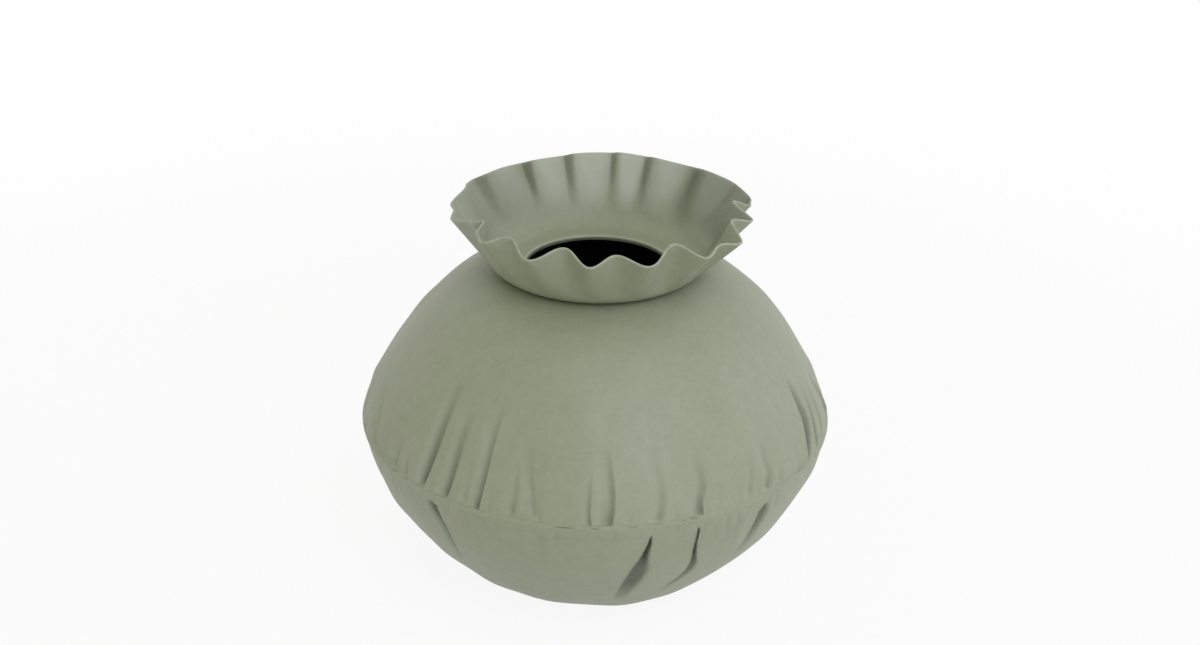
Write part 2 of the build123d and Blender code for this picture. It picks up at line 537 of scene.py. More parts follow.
def shade(piece: bpy.types.Object, sharp_angle: float) -> None:
    """Smooths a piece's shading, apart from its sharp edges.

    Args:
        piece: the mesh object.
        sharp_angle: the angle in degrees from which an edge stays sharp.
    """
    deselect_all()
    piece.select_set(True)
    bpy.context.view_layer.objects.active = piece
    bpy.ops.object.shade_smooth_by_angle(angle=math.radians(sharp_angle))


def graded_steps(length: float, fine: float, coarse: float, fine_length: float) -> np.ndarray:
    """Places along a line that are close together at its start and spread out later.

    Args:
        length: the line's length.
        fine: the step at the start.
        coarse: the widest step.
        fine_length: how far the fine steps go.

    Returns:
        The places, from 0 to the length.
    """
    places = [0.0]
    step = fine
    while places[-1] < length:
        if places[-1] > fine_length:
            step = min(coarse, step * 1.12)
        places.append(places[-1] + step)
    return np.array(places) * length / places[-1]


# The blown body


@dataclass(frozen=True)
class Fold:
    """A pucker or tuck that runs from the seam, in millimetres and degrees.

    Attributes:
        line: distance from the seam and angle of points from start to tip, along
            the sharp crest, or along the bottom where the fold is soft.
        depth: how deep it is; a negative depth makes a ridge.
        left: the width of its left flank.
        right: the width of its right flank.
        crest: the side on which it ends in a sharp crest.
        widths: the width of the right flank at each point of the line, if it varies.
        lip: how far the crest stands up, as a share of the depth.
        lip_width: how far the sheet beyond the crest stands up with it.
        rise: the length over which it reaches its depth.
        fade: the power by which it dies away to the tip.
        hollow: how full its bottom is.
        shadow: how far the painted shade spreads on the flank away from the crest.
        dark: how strong the painted shade is.
        pinch: the length over which it opens to its width, or 0 if it starts open.
    """

    line: tuple[tuple[float, float], ...]
    depth: float
    left: float
    right: float
    crest: Crest = Crest.NONE
    widths: tuple[float, ...] = ()
    lip: float = 0.2
    lip_width: float = 5.0
    rise: float = 2.0
    fade: float = 0.9
    hollow: float = 1.0
    shadow: float = 1.2
    dark: float = 1.0
    pinch: float = 0.0

    @property
    def start(self) -> float:
        """The distance from the seam at which the fold starts."""
        return self.line[0][0]

    @property
    def tip(self) -> float:
        """The distance from the seam at which the fold has died away."""
        return self.line[-1][0]

    def path(self, from_seam: np.ndarray) -> np.ndarray:
        """The angle of the fold's line at a distance from the seam, with its corners rounded."""
        distances, angles = zip(*self.line)
        return sum(np.interp(from_seam + step, distances, angles) for step in (-3.0, 0.0, 3.0)) / 3.0

    def sculpt(self, angle: np.ndarray, from_seam: np.ndarray, radius: np.ndarray) -> np.ndarray:
        """Works out what the fold does to the sheet.

        Args:
            angle: the angle of each point.
            from_seam: its distance up or down from the seam.
            radius: its distance from the axis.

        Returns:
            Three rows: how far each point moves along the sheet's normal, and
            how much painted shade and painted highlight the coat takes there, as shares of a deep fold.
        """
        past_start = from_seam - self.start
        left_over = np.clip(1.0 - past_start / (self.tip - self.start), 0.0, 1.0)
        deep = self.depth * smooth_step(past_start / self.rise) * left_over**self.fade
        widths = self.widths or [self.right] * len(self.line)
        spread = 0.25 + 0.75 * smooth_step(past_start / self.pinch) if self.pinch else 1.0
        right = np.interp(from_seam, [place for place, _ in self.line], widths) * spread
        left = self.left * spread
        aside = np.radians(wrap(angle - self.path(from_seam))) * radius
        side = self.crest.value
        bottom = aside + np.where(side > 0, right, -left * (side < 0))
        across = np.clip(np.abs(bottom) / np.where(bottom < 0, left, right), 0.0, 1.0)
        soft = 0.5 + 0.5 * np.cos(np.pi * across)
        climbing = bottom > 0
        floor = soft if self.crest is Crest.NONE else 1.0 - across ** (2.0 + 2.0 * self.hollow)
        # Painted shade: over the climbing flank and in a band beside the bottom.
        painted_shade = self.dark * deep * np.where(climbing, floor, np.exp(-((bottom / self.shadow) ** 2)))
        # Painted highlight on the flank that faces away from the crest.
        painted_highlight = deep * np.where(climbing, 0.0, np.sin(np.pi * across))
        if self.crest is Crest.NONE:
            return np.stack((-deep * soft, painted_shade, painted_highlight))
        far = soft if self.crest is Crest.RIGHT else 1.0 - across**self.hollow
        near_crest = bottom * side > 0
        groove = np.where(near_crest, np.cos(np.pi / 2 * across), far)
        beyond = aside * side
        ridge = np.where(beyond > 0, np.exp(-np.abs(beyond) / self.lip_width), near_crest * across**3)
        return np.stack((deep * (self.lip * ridge - groove), painted_shade, painted_highlight))


@dataclass(frozen=True)
class Ding:
    """A small round knock in the sheet, in millimetres and degrees."""

    angle: float
    from_seam: float
    depth: float
    radius: float


@dataclass(frozen=True)
class Nick:
    """A short slit, or a lump if its depth is negative, that runs along the seam.

    Its angle and half length are in degrees; its height from the seam, depth
    and half width are in millimetres.
    """

    angle: float
    half_length: float
    height: float
    depth: float
    half_width: float = 0.55

    def dent(self, angle: np.ndarray, height: np.ndarray) -> np.ndarray:
        """Works out how deep the slit is.

        Args:
            angle: the angle of each point.
            height: its height from the seam.

        Returns:
            The depth at each point.
        """
        bow = 0.35 * np.sin(np.radians(angle * 47.0))
        aside = bell(wrap(angle - self.angle), self.half_length) ** 0.5
        return self.depth * aside * bell(height - self.height + bow * self.half_width, self.half_width)


LEFT, RIGHT = Crest.LEFT, Crest.RIGHT

UPPER_FOLDS = [
    Fold(((6, -80), (44, -84)), 2.4, 9, 3.5, RIGHT),
    Fold(((3, -63.3), (15, -65.4), (44, -72)), 2.0, 9, 4, RIGHT),
    Fold(((4, -59), (28, -61)), 1.1, 6, 6),
    Fold(((3, -52.3), (24, -52)), 1.8, 6, 3.2, RIGHT),
    Fold(((3, -47.9), (18, -48.5)), 1.4, 4.5, 2.6, RIGHT),
    Fold(
        ((1.2, -42.8), (12, -42.5), (22, -42.0), (36, -41.7), (62, -41.5)),
        4.3, 8, 5.5, Crest.NONE, (2.6, 4.6, 5.5, 5.5, 5.0), rise=6.0, fade=0.8, shadow=3.0, dark=1.3,
    ),
    Fold(
        ((1.0, -35.5), (12, -35.1), (24, -34.8), (50, -34.2)),
        3.7, 7.5, 4.6, Crest.NONE, (2.6, 4.2, 4.8, 4.6), rise=4.0, fade=0.8, shadow=2.6, dark=1.3,
    ),
    Fold(((3, -29.6), (42, -28.9)), 0.6, 5, 2.5),
    Fold(
        ((0.8, -25.9), (9, -25.5), (23, -25.0), (36, -25.0), (58, -24.8)),
        3.0, 8.5, 2.7, RIGHT, lip=0.28, fade=0.8, shadow=1.8,
    ),
    Fold(((3, -18.4), (11, -18.1), (19, -17.9), (36, -18.4)), 1.4, 7, 3),
    Fold(((4, -13.1), (16, -13.7), (25, -14.8), (44, -16.2)), 1.5, 8, 3),
    Fold(((0.4, -0.2), (6, -0.6), (12, -0.7), (30, -0.4)), 1.5, 3.5, 1.2, RIGHT, lip=0.3, dark=1.3),
    Fold(((0.4, 4.2), (7.4, 4.6), (13.6, 4.9), (20, 5.0), (42, 4.0)), 2.9, 10, 2.5, RIGHT, lip=0.15),
    Fold(((2.0, 14.0), (6.4, 14.9), (13, 15.4), (21, 15.4), (42, 14.6)), 1.5, 9, 4.5),
    Fold(
        ((1.6, 24.2), (9, 24.4), (15, 25.3), (21, 25.8), (28, 25.7), (38, 25.4)),
        2.6, 9, 3.0, Crest.NONE, (1.8, 2.2, 4.0, 5.0, 5.0, 4.0), shadow=2.0,
    ),
    Fold(((0.6, 25.1), (5, 25.0), (13, 25.6)), 1.3, 2, 1.0, RIGHT, shadow=0.7, dark=1.5),
    Fold(((3, 37.6), (6, 37.8), (15, 39.3), (26, 39.8)), 1.4, 6, 3),
    Fold(((2.4, 43.4), (10, 45.1), (21, 44.4), (32, 44.0)), 2.0, 7, 3.5),
    Fold(
        ((2.8, 60.3), (9.6, 60.9), (14.7, 61.4), (20, 62.4), (27, 63.2), (33, 63.3), (48, 64.2)),
        7.2, 0.9, 5.0, LEFT, (2.5, 7.0, 9.0, 10.0, 9.5, 8.0, 5.0),
        lip=0.12, fade=0.7, hollow=1.3, rise=3.0,
    ),
    Fold(((3.5, 65.7), (9, 66.4), (17, 67.6), (24.5, 69), (42, 70)), 4.0, 1.0, 5.5, LEFT, lip=0.22),
    Fold(((4, 69.5), (9, 71.6), (17, 73.2), (38, 74)), 2.8, 1.2, 6, LEFT, lip=0.22),
    Fold(((3, 86), (38, 85)), 2.3, 9, 4, RIGHT),
    Fold(((3, 101), (22, 101), (52, 102.5)), 4.4, 1.2, 7, LEFT, (3, 9, 5)),
    Fold(((3, 113), (28, 112)), 1.6, 8, 4),
    Fold(((3, 127), (24, 126.6), (50, 128)), 3.2, 9, 4.5, RIGHT, lip=0.26),
    Fold(((3, 141), (34, 140)), 1.9, 5, 9),
    Fold(((2.4, 152), (20, 152.4), (58, 151)), 3.2, 8.5, 3.6, RIGHT, lip=0.26, fade=0.8),
    Fold(((3, 166), (28, 167)), 1.5, 10, 3, RIGHT),
    Fold(((2.6, 178), (16, 178.6), (48, 177)), 4.0, 1.0, 6, LEFT, (3, 8, 5)),
    Fold(((3, -169), (32, -168)), 1.7, 10, 3.5, RIGHT),
    Fold(((2.4, -157), (20, -156.5), (56, -158)), 3.2, 8.5, 3.6, RIGHT, lip=0.26, fade=0.8),
    Fold(((3, -144), (30, -144)), 1.6, 4.5, 9),
    Fold(((2.6, -132), (18, -132.4), (52, -131)), 4.4, 1.0, 6.5, LEFT, (3, 9, 5)),
    Fold(((3, -118), (34, -119)), 1.9, 9, 4, RIGHT),
    Fold(((2.4, -105), (24, -104.6), (56, -104)), 3.3, 8.5, 4.0, RIGHT, lip=0.26, fade=0.8),
    Fold(((3, -92), (38, -93)), 2.1, 8, 5),
]

LOWER_FOLDS = [
    Fold(((3.0, -150), (20, -149), (56, -147)), 4.0, 8, 4.5, RIGHT, lip=0.12, rise=5.0, pinch=16.0),
    Fold(((3.0, -122), (48, -121)), 2.6, 8, 7, rise=6.0, pinch=18.0),
    Fold(
        ((5, -96), (30, -97), (62, -99)),
        8.0, 0.8, 0.6, LEFT, (0.9, 6.0, 2.5), lip=0.06, fade=1.1, hollow=2.6, rise=10.0,
    ),
    Fold(((3.0, -68), (42, -66)), 2.0, 8, 6, rise=6.0, pinch=18.0),
    Fold(
        ((5.0, -37.8), (8.6, -37.4), (15.4, -36.8), (22.6, -36.4), (31, -36.1), (58, -37.4)),
        3.0, 7, 2.2, RIGHT, (2.8, 2.8, 2.4, 2.2, 2.2, 2.2), lip=0.1, fade=0.9, shadow=3.2, dark=2.8,
    ),
    Fold(((4.2, -39.6), (10, -39.2), (19, -38.4)), 0.9, 3.4, 2.4, fade=0.8, shadow=2.6, dark=8.0),
    Fold(((6, -12), (32, -12)), 0.7, 9, 9),
    Fold(
        (
            (5.5, 12.7), (12.8, 12.3), (19.4, 11.6), (27.6, 10.6),
            (35.3, 9.5), (45.2, 8.6), (53.5, 7.8), (74, 6.6),
        ),
        9.0, 0.8, 0.8, LEFT, (0.9, 1.5, 2.7, 5.6, 9.2, 10.8, 10.0, 6.0),
        lip=0.05, fade=0.6, hollow=3.0, rise=12.0, dark=1.6,
    ),
    Fold(
        (
            (5, 23.8), (14, 23.9), (24, 24.0), (34.6, 24.7),
            (42, 24.9), (49.3, 24.5), (56.6, 23.3), (70, 20.4),
        ),
        7.5, 0.7, 0.6, LEFT, (0.7, 1.0, 1.6, 3.2, 5.6, 6.6, 5.0, 3.0),
        lip=0.08, fade=0.8, hollow=2.4, rise=9.0, dark=1.7,
    ),
    Fold(((8, 36.4), (21, 36.8), (37, 37.5), (52, 37.8)), -0.7, 5, 5),
    Fold(
        ((5.4, 43.4), (10, 42.8), (22, 42.2), (38, 41.4), (54, 40.5)),
        2.8, 7, 7, Crest.NONE, (5.0, 6.0, 7.0, 7.5, 6.0),
        rise=4.0, fade=1.1, shadow=3.4, dark=3.6, pinch=7.0,
    ),
    Fold(((3.0, 74), (48, 72)), 2.6, 8, 7, rise=6.0, pinch=18.0),
    Fold(
        ((5, 98), (30, 99.5), (60, 101)),
        7.5, 0.8, 0.6, LEFT, (0.9, 5.5, 2.5), lip=0.06, fade=1.1, hollow=2.6, rise=10.0,
    ),
    Fold(((3.0, 126), (44, 125)), 2.3, 7, 7, rise=6.0, pinch=18.0),
    Fold(((3.0, 151), (20, 150), (58, 148)), 4.0, 8, 4.5, RIGHT, lip=0.12, rise=5.0, pinch=16.0),
    Fold(((3.0, 178), (48, 179)), 2.5, 7, 8, rise=6.0, pinch=18.0),
]

UPPER_DINGS = [
    Ding(-15.2, 75.5, 0.45, 4.0),
    Ding(-9.8, 61.0, 0.40, 4.5),
    Ding(43.7, 70.4, 0.45, 4.0),
    Ding(-97.0, 64.0, 2.6, 42.0),
    Ding(-103.0, 62.0, -1.1, 13.0),
    Ding(-98.5, 37.0, 1.1, 12.0),
    Ding(-93.0, 15.0, -1.3, 11.0),
    Ding(106.0, 66.0, -0.6, 14.0),
    Ding(98.5, 41.0, 0.8, 12.0),
    Ding(95.5, 25.0, -0.7, 10.0),
    Ding(89.5, 9.0, 1.0, 8.0),
    Ding(125.0, 60.0, -1.0, 15.0),
    Ding(150.0, 45.0, 1.1, 14.0),
    Ding(176.0, 66.0, -0.9, 14.0),
    Ding(-128.0, 58.0, 1.0, 15.0),
    Ding(-150.0, 30.0, -1.0, 13.0),
]
LOWER_DINGS = [
    Ding(12.0, 92.0, -1.8, 22.0),
    Ding(-20.0, 92.0, -1.3, 30.0),
    Ding(35.5, 5.2, -0.5, 2.6),
    Ding(-73.0, 9.0, 1.2, 9.0),
    Ding(-62.0, 37.0, -1.3, 14.0),
    Ding(-56.0, 52.0, -1.0, 12.0),
    Ding(-50.0, 65.0, -1.1, 14.0),
    Ding(-37.0, 83.0, -1.2, 14.0),
    Ding(73.0, 8.5, 1.3, 9.0),
    Ding(65.0, 31.0, 1.1, 12.0),
    Ding(57.0, 53.0, -0.6, 12.0),
    Ding(47.0, 76.0, 0.9, 13.0),
    Ding(29.0, 87.0, -1.0, 14.0),
    Ding(90.0, 68.0, -0.8, 13.0),
    Ding(120.0, 30.0, 1.1, 13.0),
    Ding(142.0, 55.0, -1.0, 14.0),
    Ding(168.0, 40.0, 1.0, 13.0),
    Ding(-160.0, 60.0, -1.0, 14.0),
    Ding(-135.0, 35.0, 1.0, 12.0),
    Ding(-108.0, 50.0, -0.9, 13.0),
    Ding(-88.0, 70.0, 0.8, 13.0),
]

LOWER_CREASES = [
    Nick(-0.7, 14.0, 7.6, 0.30, 1.9),
    Nick(118.0, 12.0, 8.2, 0.30, 1.9),
    Nick(-170.0, 15.0, 7.4, 0.30, 1.9),
]
UPPER_CREASES = [
    Nick(-58.0, 9.0, 4.4, 0.5, 1.8),
    Nick(57.0, 4.0, 3.6, 0.4, 1.8),
    Nick(140.0, 8.0, 4.2, 0.5, 1.8),
]
SEAM_NICKS = [
    Nick(-6.3, 2.5, 0.8, 0.50),
    Nick(0.4, 1.0, 0.7, 0.35),
    Nick(8.6, 1.6, 0.9, 0.22),
    Nick(14.3, 0.9, 1.2, 0.35),
    Nick(20.0, 0.8, 1.0, 0.35),
    Nick(22.6, 1.2, 1.1, 0.50),
    Nick(-52.9, 1.2, 1.2, 0.50),
    Nick(-48.2, 0.8, 1.1, 0.45),
    Nick(-88.0, 1.6, 0.6, 0.40),
    Nick(-121.0, 2.2, 0.9, 0.45),
    Nick(-163.0, 1.2, 0.4, 0.40),
    Nick(171.0, 2.4, 0.8, 0.45),
    Nick(146.0, 1.0, 1.0, 0.40),
    Nick(119.0, 1.8, 0.7, 0.45),
    Nick(92.0, 1.1, 0.5, 0.40),
    Nick(-140.0, 1.2, 0.2, -0.40, 1.3),
    Nick(133.0, 1.0, 0.3, -0.40, 1.2),
]


@dataclass
class BlownShell:
    """One half of the body: a dished sheet from the seam to a flat end."""

    name: str
    half: Half
    end_radius: float
    end_height: float
    run_power: float
    rise_power: float
    folds: list[Fold]
    dings: list[Ding]
    creases: list[Nick]
    fine_pleats: int
    pleat_seed: int
    hole_radius: float = 0.0
    seam_radius: float = 150.0
    seam_height: float = 103.0
    wall: float = 1.3
    weld_half_width: float = 1.6
    weld_root: float = 149.2
    weld_fade: float = 1.2
    end_fade: float = 10.0
    wave_height: float = 0.35
    wave_start: float = 14.0
    wave_end: float = 92.0
    wave_fade: float = 45.0
    crest_gather: float = 0.6
    deepest: float = 5.5
    piece: bpy.types.Object = field(init=False)
    inner_points: np.ndarray = field(init=False)

    def profile(self, inset: float) -> tuple[np.ndarray, np.ndarray]:
        """The sheet's line from the seam to its flat end.

        Args:
            inset: how far inside the outer face it lies.

        Returns:
            Radius and distance from the seam, finely drawn.
        """
        turn = np.linspace(0.0, np.pi / 2, 3000)
        run = self.seam_radius - inset - self.end_radius
        rise = abs(self.end_height - self.seam_height) - inset
        radius = self.end_radius + run * np.clip(np.cos(turn), 0.0, 1.0) ** (2 / self.run_power)
        return radius, rise * np.sin(turn) ** (2 / self.rise_power)

    def rows(self, inset: float, start: float, fine: float, coarse: float) -> np.ndarray:
        """Points along the sheet's line, closest near the seam.

        Args:
            inset: how far inside the outer face the line lies.
            start: the distance from the seam of the first point.
            fine: the step near the seam.
            coarse: the widest step.

        Returns:
            Radius and distance from the seam of each point.
        """
        radius, from_seam = self.profile(inset)
        length = np.concatenate(([0.0], np.cumsum(np.hypot(np.diff(radius), np.diff(from_seam)))))
        first = np.interp(start, from_seam, length)
        places = first + graded_steps(length[-1] - first, fine, coarse, 55.0)
        return np.column_stack((np.interp(places, length, radius), np.interp(places, length, from_seam)))

    def section(self) -> tuple[np.ndarray, int]:
        """The sheet's whole section, inner face first.

        Returns:
            Radius and distance from the seam of each point, and how many lie on the inner face.
        """
        rise = abs(self.end_height - self.seam_height)
        flat = np.linspace(self.hole_radius, self.end_radius, 5)[:-1]
        inner = self.rows(self.wall, 0.0, 2.6, 9.0)[::-1]
        inner = np.vstack((np.column_stack((flat, np.full(len(flat), rise - self.wall))), inner))
        outer = self.rows(0.0, self.weld_half_width, 1.3, 4.5)
        outer = np.vstack((outer, np.column_stack((flat[::-1], np.full(len(flat), rise)))))
        return np.vstack((inner, [(self.weld_root, 0.0)], outer)), len(inner)

    def build(self) -> None:
        """Spins the sheet and sculpts its folds."""
        section, inner_count = self.section()
        drawn = np.column_stack((section[:, 0], self.seam_height + self.half.value * section[:, 1])) * MM
        loop = np.vstack((drawn, drawn[:1])) if self.hole_radius else drawn
        self.piece = spin_section(self.name, loop)
        points = read_points(self.piece)
        row = rows_of(points, drawn)
        radius, from_seam = section[row].T
        angle = self.gather_columns(angles_of(points), from_seam)
        push, painted_shade, painted_highlight = self.sculpt(angle, from_seam, radius)
        slope = np.gradient(section, axis=0)[row]
        facing = np.column_stack((slope[:, 1], -slope[:, 0]))
        facing /= np.linalg.norm(facing, axis=1)[:, None]
        facing *= np.where(row < inner_count, -1.0, 1.0)[:, None]
        moved = np.column_stack((radius, from_seam)) + push[:, None] * facing
        height = self.seam_height + self.half.value * moved[:, 1]
        write_points(self.piece, place_round(moved[:, 0], angle, height) * MM)
        # The folds' painted shade and painted highlight, stored for the coat.
        write_attribute(self.piece, "fold", np.clip(painted_shade / self.deepest, 0.0, 1.0))
        write_attribute(self.piece, "painted_highlight", np.clip(0.4 * painted_highlight / self.deepest, 0.0, 0.3))
        write_attribute(self.piece, "lip", np.zeros(len(push)))
        self.inner_points = row < inner_count
        shade(self.piece, 70.0)

    def gather_columns(self, angle: np.ndarray, from_seam: np.ndarray) -> np.ndarray:
        """Slides the columns of points onto the sharp crests and closer together there.

        Args:
            angle: the angle of each point.
            from_seam: its distance from the seam.

        Returns:
            The new angle of each point.
        """
        crests = [fold for fold in self.folds if fold.crest is not Crest.NONE]
        pitch = 360.0 / COLUMNS
        columns = np.array([round(fold.line[0][1] / pitch) * pitch for fold in crests])
        closer = angle.copy()
        for column in columns:
            offset = wrap(angle - column)
            closer -= self.crest_gather * offset * bell(offset, 5.0)
        moved = closer.copy()
        for distance in np.unique(from_seam):
            row = from_seam == distance
            shift = np.array([float(fold.path(distance)) for fold in crests]) - columns
            moved[row] += np.interp(closer[row], columns, shift, period=360.0)
        return moved

    def sculpt(self, angle: np.ndarray, from_seam: np.ndarray, radius: np.ndarray) -> np.ndarray:
        """Works out what folds, pleats, waves and dings do to the sheet.

        Args:
            angle: the angle of each point.
            from_seam: its distance from the seam.
            radius: its distance from the axis.

        Returns:
            Three rows as for one fold: movement, painted shade and painted highlight, in millimetres of
                depth.
        """
        total = np.zeros((3, len(angle)))
        for fold in self.folds + self.pleats():
            total += fold.sculpt(angle, from_seam, radius)
        free = smooth_step((from_seam - self.weld_half_width) / self.wave_start)
        free *= smooth_step((self.wave_end - from_seam) / self.wave_fade)
        random = np.random.default_rng(self.pleat_seed + 1)
        for count in range(3, 17):
            height = self.wave_height * random.uniform(0.3, 1.0) / count**0.5
            phase = random.uniform(0.0, 2 * math.pi) + from_seam * random.uniform(-0.02, 0.02)
            total[0] += free * height * np.cos(count * np.radians(angle) + phase)
        for crease in self.creases:
            dent = crease.dent(angle, from_seam)
            # A crease sinks the sheet and takes painted shade.
            total += np.stack((-dent, 2.0 * dent, np.zeros(len(dent))))
        for ding in self.dings + self.bumps():
            aside = np.radians(wrap(angle - ding.angle)) * radius
            away = np.hypot(aside, from_seam - ding.from_seam) / ding.radius
            total[0] -= ding.depth * np.exp(-(away**2) * 1.5)
        to_end = abs(self.end_height - self.seam_height) - from_seam
        held = smooth_step((from_seam - self.weld_half_width) / self.weld_fade)
        return total * held * smooth_step(to_end / self.end_fade)

    def bumps(self) -> list[Ding]:
        """Strews the soft unevenness of blown sheet, from a fixed seed.

        Returns:
            Shallow dings and swellings all round.
        """
        random = np.random.default_rng(self.pleat_seed + 2)
        places = zip(random.uniform(-180, 180, 110), random.uniform(6, 88, 110))
        return [Ding(*place, random.uniform(-0.5, 0.5), random.uniform(7, 17)) for place in places]

    def pleats(self) -> list[Fold]:
        """Lays fine shallow pleats all round, from a fixed seed.

        Returns:
            One short fold for each pleat.
        """
        random = np.random.default_rng(self.pleat_seed)
        made = []
        for number in range(self.fine_pleats):
            middle = 360.0 * (number + random.uniform(-0.35, 0.35)) / self.fine_pleats
            lean = random.uniform(-0.8, 0.8)
            reach = random.uniform(9.0, 30.0)
            depth = random.uniform(0.15, 0.85)
            sides = random.uniform(1.8, 4.2, 2)
            made.append(Fold(((1.8, middle), (reach, middle + lean)), depth, *sides, dark=0.8))
        return made

    def dress(self, coat: bpy.types.Material, inside: bpy.types.Material) -> None:
        """Coats the outside, leaves the inside bare and puts the piece on the vase.

        Args:
            coat: the coat of the outer face.
            inside: the finish of the inner face.
        """
        self.piece.data.materials.append(coat)
        self.piece.data.materials.append(inside)
        for face in self.piece.data.polygons:
            face.material_index = int(all(self.inner_points[corner] for corner in face.vertices))
        finish_piece(self.piece, self.name.removesuffix("_skin"))


@dataclass
class WeldRun:
    """A weld run spun from a small section, with the slight ripple that dressing leaves."""

    name: str
    section: list[tuple[float, float]]
    ripple: float
    ripple_seed: int
    columns: int = COLUMNS
    nicks: list[Nick] = field(default_factory=list)
    # Strength of the painted highlight on the run's crest; 0 also leaves out the painted shade down the hole.
    painted_highlight: float = 0.0
    full_dent: float = 0.3
    crest_band: tuple[float, float] = (0.3, 1.0)
    inner_band: tuple[float, float] = (0.9, 1.5)
    piece: bpy.types.Object = field(init=False)

    def build(self) -> None:
        """Spins the section and ripples its outer points."""
        drawn = np.array(self.section) * MM
        self.piece = spin_section(self.name, np.vstack((drawn, drawn[:1])), self.columns)
        points = read_points(self.piece)
        angle = angles_of(points)
        radius = np.hypot(points[:, 0], points[:, 1])
        random = np.random.default_rng(self.ripple_seed)
        wave = np.zeros(len(points))
        for count in (37, 61, 89, 131):
            wave += np.cos(count * np.radians(angle) + random.uniform(0.0, 2 * math.pi)) / 4.0
        crown = (radius - radius.min()) / (radius.max() - radius.min())
        height = points[:, 2] / MM - self.section[0][1]
        dent = crown * sum((nick.dent(angle, height) for nick in self.nicks), np.zeros(len(points)))
        moved = radius + (wave * crown * self.ripple - dent) * MM
        write_points(self.piece, place_round(moved, angle, points[:, 2]))
        below_top = (points[:, 2].max() - points[:, 2]) / MM
        # Painted shade down the run's inner face, inside the unlit mouth.
        hole_shade = smooth_step(share_of(below_top, self.inner_band)) if self.painted_highlight else np.zeros(len(points))
        past_crest = smooth_step(share_of(below_top, self.crest_band))
        # Painted shade in the seam's slits and down the mouth.
        write_attribute(self.piece, "fold", np.clip(dent / self.full_dent + hole_shade, 0.0, 1.0))
        # Painted highlight along the run's crest.
        write_attribute(self.piece, "painted_highlight", self.painted_highlight * (1.0 - past_crest))
        # Painted highlight: a glint on the weld lumps, carried by the lip attribute.
        write_attribute(self.piece, "lip", np.clip(-dent / self.full_dent, 0.0, 1.0))
        shade(self.piece, 50.0)

    def dress(self, coat: bpy.types.Material) -> None:
        """Coats the run and puts it on the vase."""
        self.piece.data.materials.append(coat)
        finish_piece(self.piece, self.name.removesuffix("_run"))


def seam_run(upper: BlownShell, lower: BlownShell) -> WeldRun:
    """The run round the widest line, which fills the groove between the shells.

    Args:
        upper: the upper shell.
        lower: the lower shell.

    Returns:
        The weld run, not yet built.
    """
    crown = 0.15
    feather = 0.02
    root_gap = 0.05
    reach = upper.weld_half_width + 0.5
    face = []
    for share in np.linspace(1.0, -1.0, 17):
        shell = upper if share > 0 else lower
        flush = float(np.interp(abs(share) * reach, *shell.profile(0.0)[::-1]))
        stand = feather + crown * (1.0 - share**2) ** 1.5
        face.append((flush + stand, upper.seam_height + share * reach))
    root = (upper.weld_root + root_gap, upper.seam_height)
    return WeldRun("seam_weld_run", [root] + face, ripple=0.10, ripple_seed=5, nicks=SEAM_NICKS)


def mouth_run(upper: BlownShell, mouth_radius: float) -> WeldRun:
    """The round run inside the mouth that joins collar floor and land.

    Args:
        upper: the upper shell.
        mouth_radius: the clear radius of the mouth.

    Returns:
        The weld run, not yet built.
    """
    thickness = 0.8
    foot = 2.0
    sunk = 0.3
    drop = 1.6
    crest = 0.45
    low = upper.end_height - upper.wall
    floor = upper.end_height + upper.wall
    back = mouth_radius + thickness
    section = [(back, low), (back, floor - sunk), (mouth_radius + foot, floor - sunk)]
    for turn in np.linspace(0.0, math.pi / 2, 9):
        out = mouth_radius + foot * (1.0 - math.sin(turn))
        section.append((out, floor - drop * math.sin(turn) ** 4 + crest * math.sin(2 * turn)))
    section.append((mouth_radius, low))
    # The mouth run gets a painted highlight on its crest and painted shade down the hole.
    return WeldRun("mouth_weld_run", section, ripple=0.03, ripple_seed=8, columns=360, painted_highlight=0.7)


# The collar

RUFFLES = [
    (-168.9, -3.9), (-164.9, 3.2), (-149.4, -3.6), (-146.2, 3.8), (-123.5, -4.2), (-117.5, 2.0),
    (-100, -6.0), (-89, 0.5), (-81, -1.7), (-74, 1.8), (-61, -6.4), (-56.3, -11.0), (-54, -2.4),
    (-48, 1.3), (-37.5, -8.1), (-25, 3.5), (-13, -8.3), (-2.5, 4.0), (7, -4.4),
    (18.5, 4.8), (31.5, -7.5), (41.5, 7.1), (50.5, 2.4), (61, 8.2), (69.0, -5.4),
    (82.5, 5.8), (87.0, -9.0), (97, 6.0), (104, 9.0), (114, 6.0), (127.3, -5.5), (139.1, 3.0),
    (154.6, -6.0), (161.0, 3.2), (171.3, -3.2), (175.1, 2.2),
]


